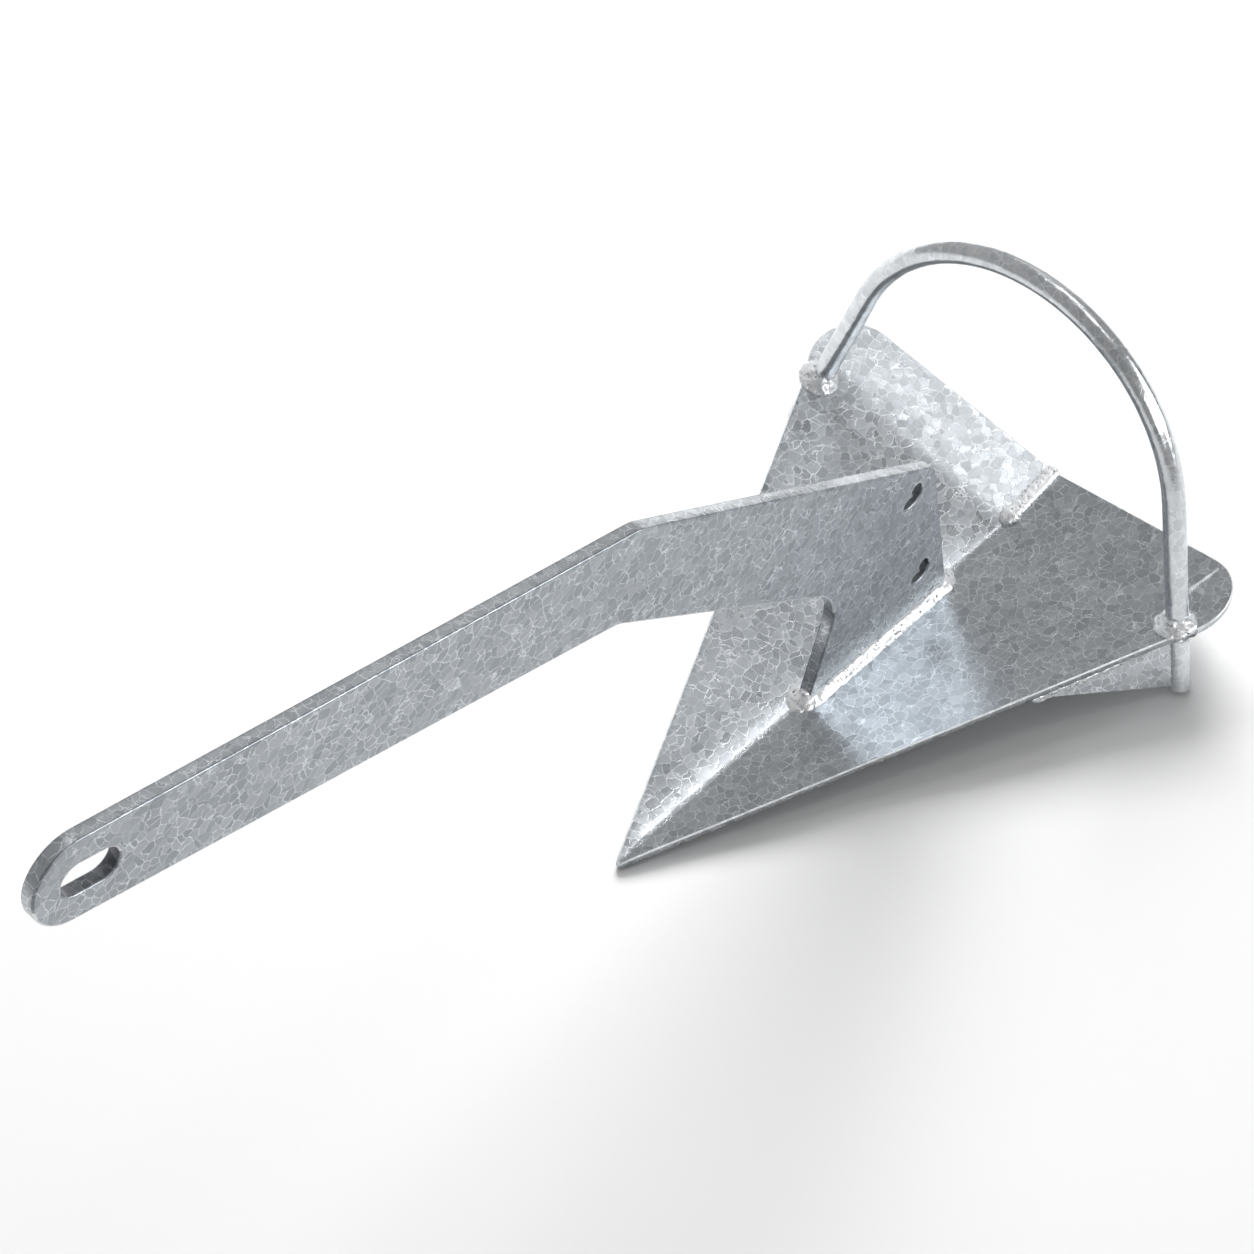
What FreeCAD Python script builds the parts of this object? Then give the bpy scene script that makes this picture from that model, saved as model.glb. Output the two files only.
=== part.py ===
import FreeCAD, Part
import math
import os
import Sketcher
from FreeCAD import Vector, Placement, Rotation

# Scoop anchor with a roll bar, millimetres.
# +X runs along the keel of the fluke from its tip to its heel, +Y is the right-hand side seen
# from behind, +Z is up. The anchor stands on its keel and on the two stub ends of the roll bar,
# and the shank reaches forward and up. The origin is the bottom centre of the whole anchor.

os.makedirs("parts", exist_ok=True)
doc = FreeCAD.newDocument("scoop_anchor")

# Driving sizes
SIZES = [
    ("fluke_length", 450.0, "keel of the fluke, tip to heel, seen from above"),
    ("fluke_plate", 6.0, "thickness of the fluke plate"),
    ("wing_angle", 16.1, "rise of each wing from the keel, degrees"),
    ("side_angle", 24.6, "half angle of the pointed planform, degrees"),
    ("tip_flat", 4.0, "width of the blunted tip"),
    ("crease_front_ahead", 112.0, "where the first crease leaves the keel, ahead of the heel"),
    ("crease_rear_ahead", 53.0, "where the second crease leaves the keel, ahead of the heel"),
    ("lift_front_angle", 3.0, "rise of the keel behind the first crease, degrees"),
    ("lift_rear_angle", 11.0, "rise of the keel behind the second crease, degrees"),
    ("heel_sweep_angle", 4.8, "forward sweep of the rear edge, degrees"),
    ("ear_radius", 35.5, "radius of the rounded outer corner of each rear flap"),
    ("ear_over", 2.27, "how far that round would pass the side edge, which cuts it"),
    ("shank_plate", 10.0, "thickness of the shank"),
    ("arm_reach", 836.0, "how far the front of the slot lies ahead of the heel"),
    ("arm_height", 423.5, "height of the front of the slot above the keel"),
    ("arm_end_width", 61.0, "width of the rounded end of the shank"),
    ("bend_top_ahead", 418.0, "upper corner of the bend, ahead of the heel"),
    ("bend_top_height", 332.5, "upper corner of the bend, above the keel"),
    ("bend_low_ahead", 440.2, "lower corner of the bend, ahead of the heel"),
    ("bend_low_height", 261.0, "lower corner of the bend, above the keel"),
    ("bend_radius", 26.0, "rounding of both corners of the bend"),
    ("back_top_ahead", 143.0, "upper rear corner of the shank, ahead of the heel"),
    ("back_top_height", 148.0, "upper rear corner of the shank, above the keel"),
    ("back_radius", 13.0, "rounding of that corner"),
    ("notch_ahead", 233.2, "corner of the notch in front of the foot, ahead of the heel"),
    ("notch_height", 94.9, "corner of the notch, above the keel"),
    ("notch_radius", 44.0, "rounding of the notch"),
    ("foot_clear", 10.0, "how far the foot of the shank stops ahead of the first crease"),
    ("foot_length", 144.0, "length of the welded foot along the keel"),
    ("shank_rim", 1.2, "chamfer of the long edges of the shank"),
    ("slot_length", 40.0, "shackle slot, over its round ends"),
    ("slot_width", 23.0, "shackle slot, across"),
    ("eye_radius", 6.0, "middle line of each kidney-shaped eye"),
    ("eye_width", 9.2, "width of each kidney-shaped eye"),
    ("eye_sweep_angle", 150.0, "angle that each eye sweeps, degrees"),
    ("eye_turn_angle", -40.0, "where the middle of the sweep points, degrees"),
    ("eye_high_in", 22.5, "centre of the upper eye's sweep, ahead of the upper rear corner"),
    ("eye_high_drop", 11.0, "the same, below that corner"),
    ("eye_low_in", 31.0, "centre of the lower eye's sweep, ahead of the foot's rear end"),
    ("eye_low_height", 45.0, "the same, above the keel"),
    ("bar_diameter", 16.0, "round bar of the roll bar"),
    ("bar_leg", 95.0, "straight leg of the roll bar above the plate, along its centre line"),
    ("bar_lean_angle", 9.5, "lean of the roll bar to the rear, degrees"),
    ("bar_foot_ahead", 68.0, "where the bar passes the plate, ahead of the heel"),
    ("bar_edge", 11.45, "centre of the bar there, in from the side edge"),
    ("skid_plate", 6.0, "thickness of each skid"),
    ("skid_front_ahead", 184.0, "front point of each skid, ahead of the heel"),
    ("skid_inset", 1.5, "how far the front of each skid stands in from the edge of the wing"),
    ("skid_above_end", 2.5, "how far the skid stops above the end of the stub"),
    ("foot_bead", 6.5, "leg of the weld round the foot of the shank"),
    ("collar_bead", 6.5, "leg of the welds round the roll bar"),
    ("heel_bead", 8.5, "width of the weld in the heel seam"),
    ("heel_bead_rise", 3.0, "height of that weld over the bottom of the valley"),
    ("skid_bead", 3.5, "how far the weld along each skid stands off its sides"),
]
sheet = doc.addObject("Spreadsheet::Sheet", "Sizes")
sheet.Label = "Sizes"
for row, (name, value, words) in enumerate(SIZES, start=1):
    sheet.set("A%d" % row, words)
    sheet.set("B%d" % row, str(value))
    sheet.setAlias("B%d" % row, name)
doc.recompute()


def size(name):
    return float(getattr(sheet, name))


# Levels that follow from the sizes
slope = math.tan(math.radians(size("wing_angle")))
plate = size("fluke_plate")
keel = plate / math.cos(math.radians(size("wing_angle")))
length = size("fluke_length")
heel = (size("arm_reach") + size("arm_end_width") / 2) / 2
tip = heel - length
HEEL = "(Sizes.arm_reach + Sizes.arm_end_width / 2) / 2"
KEEL = "Sizes.fluke_plate / cos(Sizes.wing_angle * 1deg)"
BIG = 3.0 * length


def at(along, side, height):
    # a point given from the tip, from the keel's middle and from the keel's top
    return Vector(tip + along, side, keel + height)


def ahead(name):
    # a size given ahead of the heel, turned into a distance behind the tip
    return length - size(name)


def bind_point(sketch, geo, pos, along, height):
    n = sketch.addConstraint(Sketcher.Constraint("DistanceX", geo, pos, 1.0))
    sketch.setExpression("Constraints[%d]" % n, along)
    n = sketch.addConstraint(Sketcher.Constraint("DistanceY", geo, pos, 1.0))
    sketch.setExpression("Constraints[%d]" % n, height)


def origin_plane(body, role):
    return [f for f in body.Origin.OriginFeatures if f.Role == role][0]


def body_sketch(body, name, role):
    sketch = body.newObject("Sketcher::SketchObject", name)
    sketch.AttachmentSupport = [(origin_plane(body, role), "")]
    sketch.MapMode = "FlatFace"
    return sketch


# Shank: one profile-cut plate with a bend, a shackle slot and two eyes
shank_body = doc.addObject("PartDesign::Body", "ShankPlate")
outline = body_sketch(shank_body, "ShankOutline", "XZ_Plane")
end_r = size("arm_end_width") / 2
foot_b = ahead("crease_front_ahead") - size("foot_clear")
foot_a = foot_b - size("foot_length")
ring = at(ahead("arm_reach"), 0, size("arm_height"))
bend_top = at(ahead("bend_top_ahead"), 0, size("bend_top_height"))
bend_low = at(ahead("bend_low_ahead"), 0, size("bend_low_height"))
back_top = at(ahead("back_top_ahead"), 0, size("back_top_height"))
foot_rear = at(foot_b, 0, 0)
foot_front = at(foot_a, 0, 0)
notch = at(ahead("notch_ahead"), 0, size("notch_height"))


def flat(v):
    return Vector(v.x, v.z, 0)


def touch(centre, radius, point, side):
    # the point where a line from `point` touches a circle, on the chosen side
    d = centre.sub(point)
    a = math.atan2(d.y, d.x) + side * math.asin(radius / d.Length)
    reach = math.sqrt(d.Length ** 2 - radius ** 2)
    return Vector(point.x + reach * math.cos(a), point.y + reach * math.sin(a), 0)


c = flat(ring)
upper = touch(c, end_r, flat(bend_top), -1)
lower = touch(c, end_r, flat(bend_low), 1)
a_up = math.atan2(upper.y - c.y, upper.x - c.x)
a_low = math.atan2(lower.y - c.y, lower.x - c.x)
outline.addGeometry(Part.ArcOfCircle(Part.Circle(c, Vector(0, 0, 1), end_r), a_up, a_low + 2 * math.pi))
corners = [upper, flat(bend_top), flat(back_top), flat(foot_rear), flat(foot_front), flat(notch),
           flat(bend_low), lower]
for i in range(7):
    outline.addGeometry(Part.LineSegment(corners[i], corners[i + 1]))
for i in range(1, 7):
    outline.addConstraint(Sketcher.Constraint("Coincident", i, 2, i + 1, 1))
outline.addConstraint(Sketcher.Constraint("Tangent", 0, 1, 1, 1))
outline.addConstraint(Sketcher.Constraint("Tangent", 0, 2, 7, 2))
n = outline.addConstraint(Sketcher.Constraint("Radius", 0, end_r))
outline.setExpression("Constraints[%d]" % n, "Sizes.arm_end_width / 2")
bind_point(outline, 0, 3, HEEL + " - Sizes.arm_reach", KEEL + " + Sizes.arm_height")
for geo, corner in ((1, "bend_top"), (2, "back_top"), (5, "notch"), (6, "bend_low")):
    bind_point(outline, geo, 2, HEEL + " - Sizes." + corner + "_ahead", KEEL + " + Sizes." + corner + "_height")
FOOT = HEEL + " - Sizes.crease_front_ahead - Sizes.foot_clear"
bind_point(outline, 3, 2, FOOT, KEEL)
bind_point(outline, 4, 2, FOOT + " - Sizes.foot_length", KEEL)
shank_pad = shank_body.newObject("PartDesign::Pad", "ShankPad")
shank_pad.Profile = outline
shank_pad.SideType = "Symmetric"
shank_pad.setExpression("Length", "Sizes.shank_plate")
doc.recompute()


def cross_edges(shape, point):
    # the edges across the plate that pass through a profile corner
    found = []
    for i, e in enumerate(shape.Edges, start=1):
        mid = e.CenterOfMass
        if math.hypot(mid.x - point.x, mid.z - point.z) < 0.01 and abs(mid.y) < 0.01:
            found.append("Edge%d" % i)
    return found


def round_corner(name, base, points, size_name):
    fillet = shank_body.newObject("PartDesign::Fillet", name)
    edges = []
    for p in points:
        edges += cross_edges(base.Shape, p)
    fillet.Base = (base, edges)
    fillet.setExpression("Radius", "Sizes." + size_name)
    doc.recompute()
    return fillet


bends = round_corner("ShankBends", shank_pad, [bend_top, bend_low], "bend_radius")
backs = round_corner("ShankBack", bends, [back_top], "back_radius")
notched = round_corner("ShankNotch", backs, [notch], "notch_radius")

# the long edges of the profile are eased, apart from those that stand in the weld
rim_edges = []
for i, e in enumerate(notched.Shape.Edges, start=1):
    box = e.BoundBox
    if abs(box.YLength) < 0.01 and box.ZMax > keel + 0.01:
        rim_edges.append("Edge%d" % i)
rims = shank_body.newObject("PartDesign::Chamfer", "ShankRims")
rims.Base = (notched, rim_edges)
rims.setExpression("Size", "Sizes.shank_rim")
doc.recompute()

# the shackle slot lies along the arm, its front end centred in the rounded end
arm_axis = math.atan2((bend_top.z + bend_low.z) / 2 - ring.z, (bend_top.x + bend_low.x) / 2 - ring.x)
ax = Vector(math.cos(arm_axis), math.sin(arm_axis), 0)
up = Vector(-ax.y, ax.x, 0)
slot_r = size("slot_width") / 2
slot_run = size("slot_length") - size("slot_width")
slot = body_sketch(shank_body, "ShackleSlot", "XZ_Plane")
c2 = c.add(ax * slot_run)
a0 = arm_axis + math.pi / 2
slot.addGeometry(Part.ArcOfCircle(Part.Circle(c, Vector(0, 0, 1), slot_r), a0, a0 + math.pi))
slot.addGeometry(Part.LineSegment(c.sub(up * slot_r), c2.sub(up * slot_r)))
slot.addGeometry(Part.ArcOfCircle(Part.Circle(c2, Vector(0, 0, 1), slot_r), a0 + math.pi, a0 + 2 * math.pi))
slot.addGeometry(Part.LineSegment(c2.add(up * slot_r), c.add(up * slot_r)))
slot.addConstraint(Sketcher.Constraint("Tangent", 0, 2, 1, 1))
slot.addConstraint(Sketcher.Constraint("Tangent", 1, 2, 2, 1))
slot.addConstraint(Sketcher.Constraint("Tangent", 2, 2, 3, 1))
slot.addConstraint(Sketcher.Constraint("Tangent", 3, 2, 0, 1))
n = slot.addConstraint(Sketcher.Constraint("Radius", 0, slot_r))
slot.setExpression("Constraints[%d]" % n, "Sizes.slot_width / 2")
bind_point(slot, 0, 3, HEEL + " - Sizes.arm_reach", KEEL + " + Sizes.arm_height")
n = slot.addConstraint(Sketcher.Constraint("Distance", 1, slot_run))
slot.setExpression("Constraints[%d]" % n, "Sizes.slot_length - Sizes.slot_width")
n = slot.addConstraint(Sketcher.Constraint("Angle", 1, arm_axis))
slot.setExpression("Constraints[%d]" % n, "atan2((Sizes.bend_top_height + Sizes.bend_low_height) / 2"
                   " - Sizes.arm_height; Sizes.arm_reach - (Sizes.bend_top_ahead + Sizes.bend_low_ahead) / 2)")
slot.addConstraint(Sketcher.Constraint("Equal", 0, 2))
slot_cut = shank_body.newObject("PartDesign::Pocket", "ShackleSlotCut")
slot_cut.Profile = slot
slot_cut.Type = "ThroughAll"
slot_cut.SideType = "Symmetric"
doc.recompute()

# two kidney-shaped eyes for a trip line, one high and one low behind the foot
eyes = body_sketch(shank_body, "Eyes", "XZ_Plane")
r_mid, r_half = size("eye_radius"), size("eye_width") / 2
turn, half = math.radians(size("eye_turn_angle")), math.radians(size("eye_sweep_angle") / 2)
eye_high = back_top.sub(Vector(size("eye_high_in"), 0, size("eye_high_drop")))
eye_low = foot_rear.add(Vector(-size("eye_low_in"), 0, size("eye_low_height")))
for k in (flat(eye_high), flat(eye_low)):
    first, last = turn - half, turn + half
    p1 = k.add(Vector(math.cos(first), math.sin(first), 0) * r_mid)
    p2 = k.add(Vector(math.cos(last), math.sin(last), 0) * r_mid)
    g = eyes.addGeometry(Part.ArcOfCircle(Part.Circle(k, Vector(0, 0, 1), r_mid + r_half), first, last))
    eyes.addGeometry(Part.ArcOfCircle(Part.Circle(p2, Vector(0, 0, 1), r_half), last, last + math.pi))
    eyes.addGeometry(Part.ArcOfCircle(Part.Circle(k, Vector(0, 0, 1), r_mid - r_half), first, last))
    eyes.addGeometry(Part.ArcOfCircle(Part.Circle(p1, Vector(0, 0, 1), r_half), first + math.pi,
                                      first + 2 * math.pi))
    eyes.addConstraint(Sketcher.Constraint("Coincident", g, 2, g + 1, 1))
    eyes.addConstraint(Sketcher.Constraint("Coincident", g + 1, 2, g + 2, 2))
    eyes.addConstraint(Sketcher.Constraint("Coincident", g + 2, 1, g + 3, 1))
    eyes.addConstraint(Sketcher.Constraint("Coincident", g + 3, 2, g, 1))
eye_cut = shank_body.newObject("PartDesign::Pocket", "EyesCut")
eye_cut.Profile = eyes
eye_cut.Type = "ThroughAll"
eye_cut.SideType = "Symmetric"
doc.recompute()

# the foot is ground to a shallow V that seats in the valley of the fluke
seat = body_sketch(shank_body, "FootSeat", "YZ_Plane")
w = size("shank_plate")
deep = w
pts = [Vector(-w, keel + slope * w, 0), Vector(0, keel, 0), Vector(w, keel + slope * w, 0),
       Vector(w, keel - deep, 0), Vector(-w, keel - deep, 0)]
for i in range(5):
    seat.addGeometry(Part.LineSegment(pts[i], pts[(i + 1) % 5]))
for i in range(5):
    seat.addConstraint(Sketcher.Constraint("Coincident", i, 2, (i + 1) % 5, 1))
SEAT = KEEL + " + Sizes.shank_plate * tan(Sizes.wing_angle * 1deg)"
bind_point(seat, 0, 1, "-Sizes.shank_plate", SEAT)
bind_point(seat, 1, 1, "0", KEEL)
bind_point(seat, 2, 1, "Sizes.shank_plate", SEAT)
bind_point(seat, 3, 1, "Sizes.shank_plate", KEEL + " - Sizes.shank_plate")
bind_point(seat, 4, 1, "-Sizes.shank_plate", KEEL + " - Sizes.shank_plate")
seat_cut = shank_body.newObject("PartDesign::Pocket", "FootSeatCut")
seat_cut.Profile = seat
seat_cut.Type = "ThroughAll"
seat_cut.SideType = "Symmetric"
shank_body.Tip = seat_cut
doc.recompute()
shank = shank_body
shank.Label = "shank"


# Fluke: one plate folded along the keel, with both rear flaps turned up along a crease that runs
# from the keel to the foot of the roll bar, and a narrow three-cornered facet in between
sa = math.radians(size("side_angle"))
foot_x = ahead("bar_foot_ahead")
foot_y = (foot_x * math.sin(sa) - size("bar_edge")) / math.cos(sa)
x1, x2 = ahead("crease_front_ahead"), ahead("crease_rear_ahead")
g1, g2 = math.tan(math.radians(size("lift_front_angle"))), math.tan(math.radians(size("lift_rear_angle")))
rise = g1 * (x2 - x1)
# each facet: height above the keel = k + along * gx + side * gy
facets = [
    (0.0, 0.0, slope),
    (-g1 * x1, g1, slope - g1 * (foot_x - x1) / foot_y),
    (rise - g2 * x2, g2, (slope * foot_y - rise - g2 * (foot_x - x2)) / foot_y),
]


def below(facet, side, drop):
    # everything under one facet's plane, lowered by `drop` square to the facet
    k, gx, gy = facet
    sink = drop * math.sqrt(1 + gx * gx + gy * gy)
    ring_pts = []
    for px, py in ((-BIG, -BIG), (BIG, -BIG), (BIG, BIG), (-BIG, BIG)):
        ring_pts.append(at(px, py, k + gx * px + gy * side * py - sink))
    face = Part.Face(Part.makePolygon(ring_pts + ring_pts[:1]))
    return face.extrude(Vector(0, 0, -BIG))


def above_all(drop):
    room = Part.makeBox(2 * BIG, 2 * BIG, BIG, Vector(-BIG, -BIG, -BIG / 2))
    return room.cut([below(f, side, drop) for f in facets for side in (-1, 1)])


scoop = doc.addObject("Part::Feature", "ScoopSpace")
scoop.Shape = above_all(0.0)
hull = doc.addObject("Part::Feature", "HullSpace")
hull.Shape = above_all(plate)

planform = doc.addObject("Sketcher::SketchObject", "FlukePlanform")
side_t = math.tan(sa)
ta = math.radians(size("heel_sweep_angle"))
sweep_t = math.tan(ta)
ear_r = size("ear_radius")
tip_y = size("tip_flat") / 2
tip_x = tip_y / side_t
# the ear's circle touches the swept rear edge and is cut by the side edge
ear_in = ear_r - size("ear_over")
ear_y = ((length - ear_r / math.cos(ta)) * math.sin(sa) - ear_in) / (math.cos(sa) + sweep_t * math.sin(sa))
ear_x = length - sweep_t * ear_y - ear_r / math.cos(ta)
EAR = ("((Sizes.fluke_length - Sizes.ear_radius / cos(Sizes.heel_sweep_angle * 1deg)) * sin(Sizes.side_angle * 1deg)"
       " - Sizes.ear_radius + Sizes.ear_over) / (cos(Sizes.side_angle * 1deg)"
       " + tan(Sizes.heel_sweep_angle * 1deg) * sin(Sizes.side_angle * 1deg))")
rear_end = Vector(ear_x + ear_r * math.cos(ta), ear_y + ear_r * math.sin(ta), 0)
along = ear_x * math.cos(sa) + ear_y * math.sin(sa) - math.sqrt(ear_r ** 2 - ear_in ** 2)
side_end = Vector(along * math.cos(sa), along * math.sin(sa), 0)
shift = Vector(tip, 0, 0)
for sgn in (1, -1):
    heel_p, rear_p = Vector(length, 0, 0), Vector(rear_end.x, sgn * rear_end.y, 0)
    side_p, tip_p = Vector(side_end.x, sgn * side_end.y, 0), Vector(tip_x, sgn * tip_y, 0)
    g = planform.addGeometry(Part.LineSegment(heel_p.add(shift), rear_p.add(shift)))
    centre = Vector(ear_x, sgn * ear_y, 0).add(shift)
    b1 = math.atan2(rear_p.y - sgn * ear_y, rear_p.x - ear_x)
    b2 = math.atan2(side_p.y - sgn * ear_y, side_p.x - ear_x)
    if sgn > 0:
        b2 = b2 if b2 > b1 else b2 + 2 * math.pi
        planform.addGeometry(Part.ArcOfCircle(Part.Circle(centre, Vector(0, 0, 1), ear_r), b1, b2))
        near, far = 1, 2
    else:
        b1 = b1 if b1 > b2 else b1 + 2 * math.pi
        planform.addGeometry(Part.ArcOfCircle(Part.Circle(centre, Vector(0, 0, 1), ear_r), b2, b1))
        near, far = 2, 1
    planform.addGeometry(Part.LineSegment(side_p.add(shift), tip_p.add(shift)))
    planform.addConstraint(Sketcher.Constraint("Tangent", g, 2, g + 1, near))
    planform.addConstraint(Sketcher.Constraint("Coincident", g + 1, far, g + 2, 1))
    bind_point(planform, g, 1, HEEL, "0")
    bind_point(planform, g + 2, 2, HEEL + " - Sizes.fluke_length + Sizes.tip_flat / 2 / tan(Sizes.side_angle * 1deg)",
               "Sizes.tip_flat / 2" if sgn > 0 else "-Sizes.tip_flat / 2")
    n = planform.addConstraint(Sketcher.Constraint("Radius", g + 1, ear_r))
    planform.setExpression("Constraints[%d]" % n, "Sizes.ear_radius")
    n = planform.addConstraint(Sketcher.Constraint("DistanceY", g + 1, 3, sgn * ear_y))
    planform.setExpression("Constraints[%d]" % n, EAR if sgn > 0 else "-(" + EAR + ")")
    n = planform.addConstraint(Sketcher.Constraint("Angle", g, math.atan2(rear_p.y, rear_p.x - length)))
    planform.setExpression("Constraints[%d]" % n,
                           "90deg + Sizes.heel_sweep_angle * 1deg" if sgn > 0
                           else "-90deg - Sizes.heel_sweep_angle * 1deg")
    n = planform.addConstraint(Sketcher.Constraint("Angle", g + 2, sa + math.pi if sgn > 0 else math.pi - sa))
    planform.setExpression("Constraints[%d]" % n,
                           "180deg + Sizes.side_angle * 1deg" if sgn > 0 else "180deg - Sizes.side_angle * 1deg")
g = planform.addGeometry(Part.LineSegment(Vector(tip + tip_x, tip_y, 0), Vector(tip + tip_x, -tip_y, 0)))
planform.addConstraint(Sketcher.Constraint("Coincident", g, 1, 2, 2))
planform.addConstraint(Sketcher.Constraint("Coincident", g, 2, 5, 2))
doc.recompute()
blank = doc.addObject("Part::Extrusion", "FlukeBlank")
blank.Base = planform
blank.Dir = Vector(0, 0, 1)
blank.LengthFwd = BIG / 2 - 1
blank.LengthRev = BIG / 4
blank.Solid = True
lower_cut = doc.addObject("Part::Common", "FlukeUnderside")
lower_cut.Base = blank
lower_cut.Tool = hull
folded = doc.addObject("Part::Cut", "FlukeFolded")
folded.Base = lower_cut
folded.Tool = scoop
doc.recompute()

# Roll bar: one round bar bent to a hoop, its legs square to the wings seen from behind, leaning
# back, and passing through the plate to end in two stubs level with the underside of the keel
leg = math.radians(size("wing_angle"))
lean = math.radians(size("bar_lean_angle"))
bar_r = size("bar_diameter") / 2
foot_z = slope * foot_y
leg_length = size("bar_leg")
hoop_r = (foot_y - leg_length * math.sin(leg)) / math.cos(leg)
# in the hoop's own plane: side, and height along the leaning plane, from the level of the feet
down = Vector(-math.sin(lean) * math.cos(leg), math.sin(leg), -math.cos(lean) * math.cos(leg))
dip = bar_r * math.sqrt(1 - down.z ** 2)
stub = (keel + foot_z - dip) / -down.z
arc_y = hoop_r * math.cos(leg)
arc_w = leg_length * math.cos(leg) - hoop_r * math.sin(leg)


def in_hoop(side, w):
    return at(foot_x + w * math.sin(lean), side, foot_z + w * math.cos(lean))


end_y, end_w = foot_y + stub * math.sin(leg), -stub * math.cos(leg)
join_w = leg_length * math.cos(leg)
path = doc.addObject("Part::Feature", "HoopPath")
path.Shape = Part.Wire([
    Part.LineSegment(in_hoop(-end_y, end_w), in_hoop(-arc_y, join_w)).toShape(),
    Part.Arc(in_hoop(-arc_y, join_w), in_hoop(0, arc_w + hoop_r), in_hoop(arc_y, join_w)).toShape(),
    Part.LineSegment(in_hoop(arc_y, join_w), in_hoop(end_y, end_w)).toShape()])
section = doc.addObject("Part::Circle", "HoopSection")
section.setExpression("Radius", "Sizes.bar_diameter / 2")
start = in_hoop(-end_y, end_w)
tangent = in_hoop(-arc_y, join_w).sub(start).normalize()
section.Placement = Placement(start, Rotation(Vector(0, 0, 1), tangent))
roll_bar = doc.addObject("Part::Sweep", "RollBar")
roll_bar.Sections = [section]
roll_bar.Spine = (path, ["Edge1", "Edge2", "Edge3"])
roll_bar.Solid = True
roll_bar.Frenet = False
roll_bar.Transition = "Right corner"
roll_bar.Label = "roll_bar"
doc.recompute()

fluke = doc.addObject("Part::Cut", "Fluke")
fluke.Base = folded
fluke.Tool = roll_bar
fluke.Label = "fluke"
doc.recompute()


def posed(feature, shape, where=None):
    feature.Shape = shape
    feature.Placement = where if where is not None else Placement()
    return feature


# Skids: a three-cornered plate under each wing tip, in the plane of the side edge and the stub
skid_x = ahead("skid_front_ahead")
skid_y = skid_x * side_t - (size("skid_plate") / 2 + size("skid_inset")) / math.cos(sa)
skid_run = Vector(foot_x - skid_x, foot_y - skid_y, slope * (foot_y - skid_y))
skids = {}
for name, sgn in (("left", -1), ("right", 1)):
    foot = at(foot_x, sgn * foot_y, foot_z)
    e = Vector(-skid_run.x, -sgn * skid_run.y, -skid_run.z).normalize()
    d = Vector(down.x, sgn * down.y, down.z)
    square = e.cross(d).normalize()
    body = doc.addObject("PartDesign::Body", "SkidPlate_" + name)
    sk = body_sketch(body, "SkidOutline_" + name, "XY_Plane")
    # local axes: x forward along the side edge, y down the stub, measured square to x
    y_axis = square.cross(e).normalize()
    body.Placement = Placement(foot, Rotation(e, y_axis, square, "ZXY"))
    skew = math.atan2(d.dot(e), d.dot(y_axis))
    low = stub - size("skid_above_end")
    tri = [Vector(0, 0, 0), Vector(skid_run.Length, 0, 0),
           Vector(low * math.sin(skew), low * math.cos(skew), 0)]
    for i in range(3):
        sk.addGeometry(Part.LineSegment(tri[i], tri[(i + 1) % 3]))
    for i in range(3):
        sk.addConstraint(Sketcher.Constraint("Coincident", i, 2, (i + 1) % 3, 1))
    bind_point(sk, 0, 1, "0", "0")
    sk.addConstraint(Sketcher.Constraint("DistanceX", 1, 1, tri[1].x))
    sk.addConstraint(Sketcher.Constraint("DistanceY", 1, 1, tri[1].y))
    sk.addConstraint(Sketcher.Constraint("DistanceX", 2, 1, tri[2].x))
    sk.addConstraint(Sketcher.Constraint("DistanceY", 2, 1, tri[2].y))
    pad = body.newObject("PartDesign::Pad", "SkidPad_" + name)
    pad.Profile = sk
    pad.SideType = "Symmetric"
    pad.setExpression("Length", "Sizes.skid_plate")
    body.Tip = pad
    doc.recompute()
    under = doc.addObject("Part::Common", "SkidUnder_" + name)
    wing_low = doc.addObject("Part::Feature", "UnderWing_" + name)
    wing_low.Shape = below(facets[0], sgn, plate)
    under.Base = body
    under.Tool = wing_low
    skid = doc.addObject("Part::Cut", "Skid_" + name)
    skid.Base = under
    skid.Tool = roll_bar
    skid.Label = "skid_" + name
    doc.recompute()
    skids[name] = (skid, foot, e, d, y_axis, tri[2])

# Weld round the foot of the shank: a low ridge all round it, seated on the plate and the valley
def stadium(x_from, x_to, half_width, level):
    pts = [at(x_from, -half_width, level), at(x_to, -half_width, level), at(x_to, half_width, level),
           at(x_from, half_width, level)]
    left_arc = Part.Arc(pts[3], at(x_from - half_width, 0, level), pts[0]).toShape()
    right_arc = Part.Arc(pts[1], at(x_to + half_width, 0, level), pts[2]).toShape()
    return Part.Wire([Part.LineSegment(pts[0], pts[1]).toShape(), right_arc,
                      Part.LineSegment(pts[2], pts[3]).toShape(), left_arc])


bead = size("foot_bead")
hw = size("shank_plate") / 2
z_face = slope * hw
steep = (bead - slope * bead) / bead
low_z, top_z = -0.5 * bead, z_face + bead + 0.2 * bead
low_half = hw + (z_face + bead - low_z) / steep
top_half = hw - (top_z - z_face - bead) / steep
mound = Part.makeLoft([stadium(foot_a + hw, foot_b - hw, half_w, lev)
                       for half_w, lev in ((low_half, low_z), (top_half, top_z))], True, True)
mound_obj = posed(doc.addObject("Part::Feature", "FootMound"), mound)
shank_weld_a = doc.addObject("Part::Common", "FootWeldSeated")
shank_weld_a.Base = mound_obj
shank_weld_a.Tool = scoop
shank_weld = doc.addObject("Part::Cut", "FootWeld")
shank_weld.Base = shank_weld_a
shank_weld.Tool = shank_body
shank_weld.Label = "shank_weld"
doc.recompute()

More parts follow.
